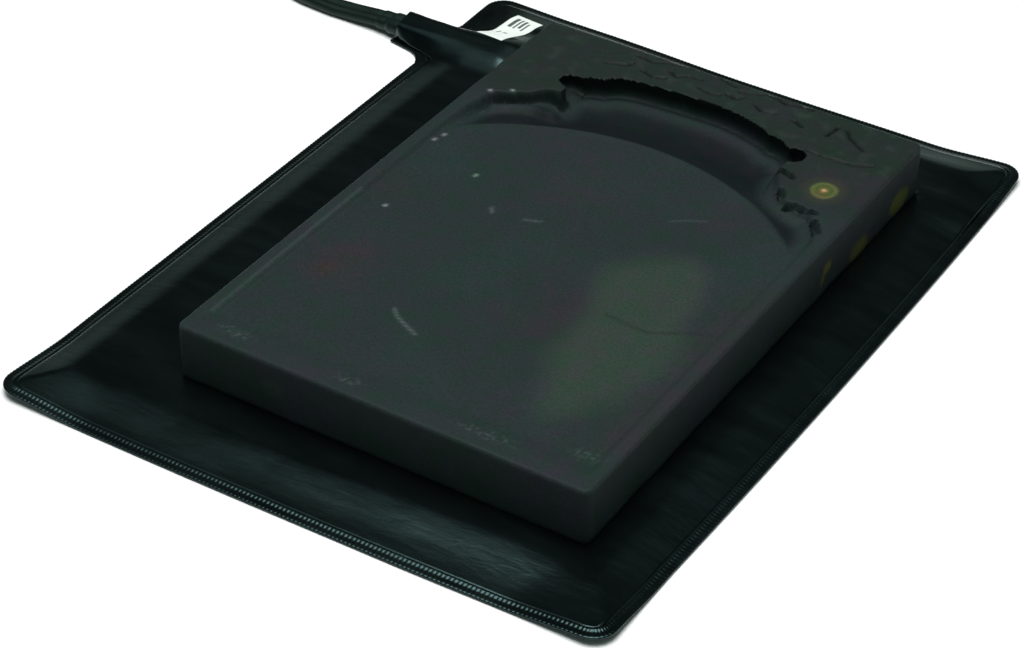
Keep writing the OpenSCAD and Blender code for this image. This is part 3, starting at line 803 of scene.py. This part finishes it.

# Painted shade: the slope from the lip down to the bottom of the pond is painted darker, and a band at the
# foot of the wall is painted dark as the shadow under the undercut
pond_gap = from_line(x, y, pond_edge)[0]
pond_shade = within(x, y, pond_edge) * top
past = np.hypot(x - lip_x, y - lip_y) - lip_r
stain(pond_shade * 0.8 * ease(past, -0.5, 1) * ease(pond_gap, 2.5, 7.5), "14191e")
stain(pond_shade * 0.5 * (z < -1.3) * (1 - ease(pond_gap, 0.5, 2)), "12181a")

# The eyes: a yellow-green disc with a darker ring and an orange-white middle
eye = np.hypot(x - 48.5, (y - 54.8) * 0.95)
stain(top * 0.15 * (1 - ease(eye, 4, 8)), "6b6a3c")
stain(top * 0.9 * (1 - ease(eye + 0.2 * small, 3.4, 4.2)), "6f7644")
stain(top * np.exp(-((eye - 2.1) / 0.45) ** 2) * 0.7, "4f5526")
stain(top * (1 - ease(eye, 0.7, 1.2)), "b8823e")
stain(top * (1 - ease(eye, 0.2, 0.6)), "e8dccb")
right = on_side & (x > stone_half_w - 1.5)
for eye_y, eye_z, reach_y, reach_z, code in [
    (78, -11.8, 6.2, 3.6, "5d6630"), (53.4, -13.4, 6, 3.1, "565c2c"), (33.5, -8.2, 2.4, 2, "63642e"),
    (31.4, -11, 1.3, 1.6, "5f5b2c"),
]:
    reach = np.hypot((y - eye_y) / reach_y, (z - eye_z) / reach_z) + 0.1 * small
    stain(right * (1 - ease(reach, 0.75, 1.1)), code)
    stain(right * 0.3 * (1 - ease(reach, 0.1, 0.35)), "7d6230")
front = on_side & (y < -stone_half_l + 1.5)
stain(front * 0.5 * (1 - ease(np.hypot(x + 31, (z + 8) * 1.3), 2, 4.5)), "3c4a44")

# The whole stone is dark, and its sides are painted a little darker than its top, as painted shade
tint *= np.where(on_side, 0.42, 0.52)[:, None]

paint_layer = inkstone_body.data.attributes.new("tint", "FLOAT_COLOR", "POINT")
paint_layer.data.foreach_set("color", np.hstack([tint, np.ones((len(x), 1))]).astype(np.float32).ravel())

# Honed slate: a dull, even sheen, with a grain about 0.4 mm that shows as faint mottling
slate.use_nodes = True
slate_shader = slate.node_tree.nodes["Principled BSDF"]
slate_shader.inputs["IOR"].default_value = 1.54
slate_shader.inputs["Specular IOR Level"].default_value = 0.09
slate_place = add_node(slate, "ShaderNodeTexCoord").outputs["Object"]
slate_tint = add_node(slate, "ShaderNodeAttribute", attribute_name="tint")
slate_grain = add_node(slate, "ShaderNodeTexNoise", {"Vector": slate_place, "Scale": 1500.0, "Detail": 3.0})
slate_cloud = add_node(slate, "ShaderNodeTexNoise", {"Vector": slate_place, "Scale": 120.0, "Detail": 6.0})
grain_light = add_node(slate, "ShaderNodeMapRange", {
    "Value": slate_grain.outputs["Fac"], "From Min": 0.25, "From Max": 0.75, "To Min": 0.78, "To Max": 1.22,
})
# Soft patches of 3 to 8 mm lean towards purple or towards green
slate_patch = add_node(slate, "ShaderNodeTexNoise", {"Vector": slate_place, "Scale": 190.0, "Detail": 3.0})
patch_share = add_node(slate, "ShaderNodeMapRange", {
    "Value": slate_patch.outputs["Fac"], "From Min": 0.38, "From Max": 0.62,
})
slate_lean = add_node(slate, "ShaderNodeMix", {
    0: patch_share.outputs["Result"], 6: (1.14, 0.95, 1.12, 1), 7: (0.86, 1.05, 0.94, 1),
}, data_type="RGBA")
slate_leaning = add_node(slate, "ShaderNodeVectorMath", {
    0: slate_tint.outputs["Color"], 1: slate_lean.outputs[2],
}, operation="MULTIPLY")
slate_colour = add_node(slate, "ShaderNodeVectorMath", {
    0: slate_leaning.outputs["Vector"], "Scale": grain_light.outputs["Result"],
}, operation="SCALE")
slate_gloss = add_node(slate, "ShaderNodeMapRange", {
    "Value": slate_cloud.outputs["Fac"], "From Min": 0.3, "From Max": 0.7, "To Min": 0.5, "To Max": 0.66,
})
slate_bump = add_node(slate, "ShaderNodeBump", {
    "Strength": 0.35, "Distance": 0.00008, "Height": slate_grain.outputs["Fac"],
})
slate.node_tree.links.new(slate_colour.outputs["Vector"], slate_shader.inputs["Base Color"])
slate.node_tree.links.new(slate_gloss.outputs["Result"], slate_shader.inputs["Roughness"])
slate.node_tree.links.new(slate_bump.outputs["Normal"], slate_shader.inputs["Normal"])

# ---------------------------------------------------------------- Floor and light
# A plain pale table under one large soft light straight overhead, with a bright low horizon
# and a dark band above it, which keeps the glossy vinyl dark.

table = bmesh.new()
bmesh.ops.create_grid(table, x_segments=1, y_segments=1, size=3)
table_mesh = bpy.data.meshes.new("floor")
table.to_mesh(table_mesh)
table.free()
floor = bpy.data.objects.new("floor", table_mesh)
bpy.context.scene.collection.objects.link(floor)
floor_paint = bpy.data.materials.new("white painted table")
floor_paint.use_nodes = True
floor_paint.node_tree.nodes["Principled BSDF"].inputs["Base Color"].default_value = linear("f4f4f4")
floor_paint.node_tree.nodes["Principled BSDF"].inputs["Roughness"].default_value = 0.8
floor_paint.node_tree.nodes["Principled BSDF"].inputs["Specular IOR Level"].default_value = 0.1
table_mesh.materials.append(floor_paint)

softbox = bpy.data.lights.new("overhead softbox", "AREA")
softbox.shape = "RECTANGLE"
softbox.size, softbox.size_y = 0.9, 0.9
softbox.energy = 19.5
overhead = bpy.data.objects.new("overhead softbox", softbox)
overhead.location = (-0.05, 0.0, 1.3)
overhead.rotation_euler = (Vector((0, 0, 0)) - overhead.location).to_track_quat("-Z", "Y").to_euler()
bpy.context.scene.collection.objects.link(overhead)

world = bpy.data.worlds.new("studio")
bpy.context.scene.world = world
world.use_nodes = True
sky = world.node_tree.nodes["Background"]
direction = add_node(world, "ShaderNodeTexCoord").outputs["Generated"]
height = add_node(world, "ShaderNodeSeparateXYZ", {"Vector": direction}).outputs["Z"]
bands = add_node(world, "ShaderNodeValToRGB", {"Fac": height})
stops = bands.color_ramp.elements
stops[0].position, stops[0].color = 0.0, (0.38, 0.56, 0.48, 1)
stops[1].position, stops[1].color = 1.0, (0.9, 0.95, 0.95, 1)
for position, level in [(0.12, 0.42), (0.3, 0.26), (0.45, 0.04), (0.7, 0.04), (0.77, 0.15), (0.83, 0.55)]:
    stops.new(position).color = (level * 0.78, level * 1.1, level * 0.98, 1)
world.node_tree.links.new(bands.outputs["Color"], sky.inputs["Color"])
sky.inputs["Strength"].default_value = 0.8
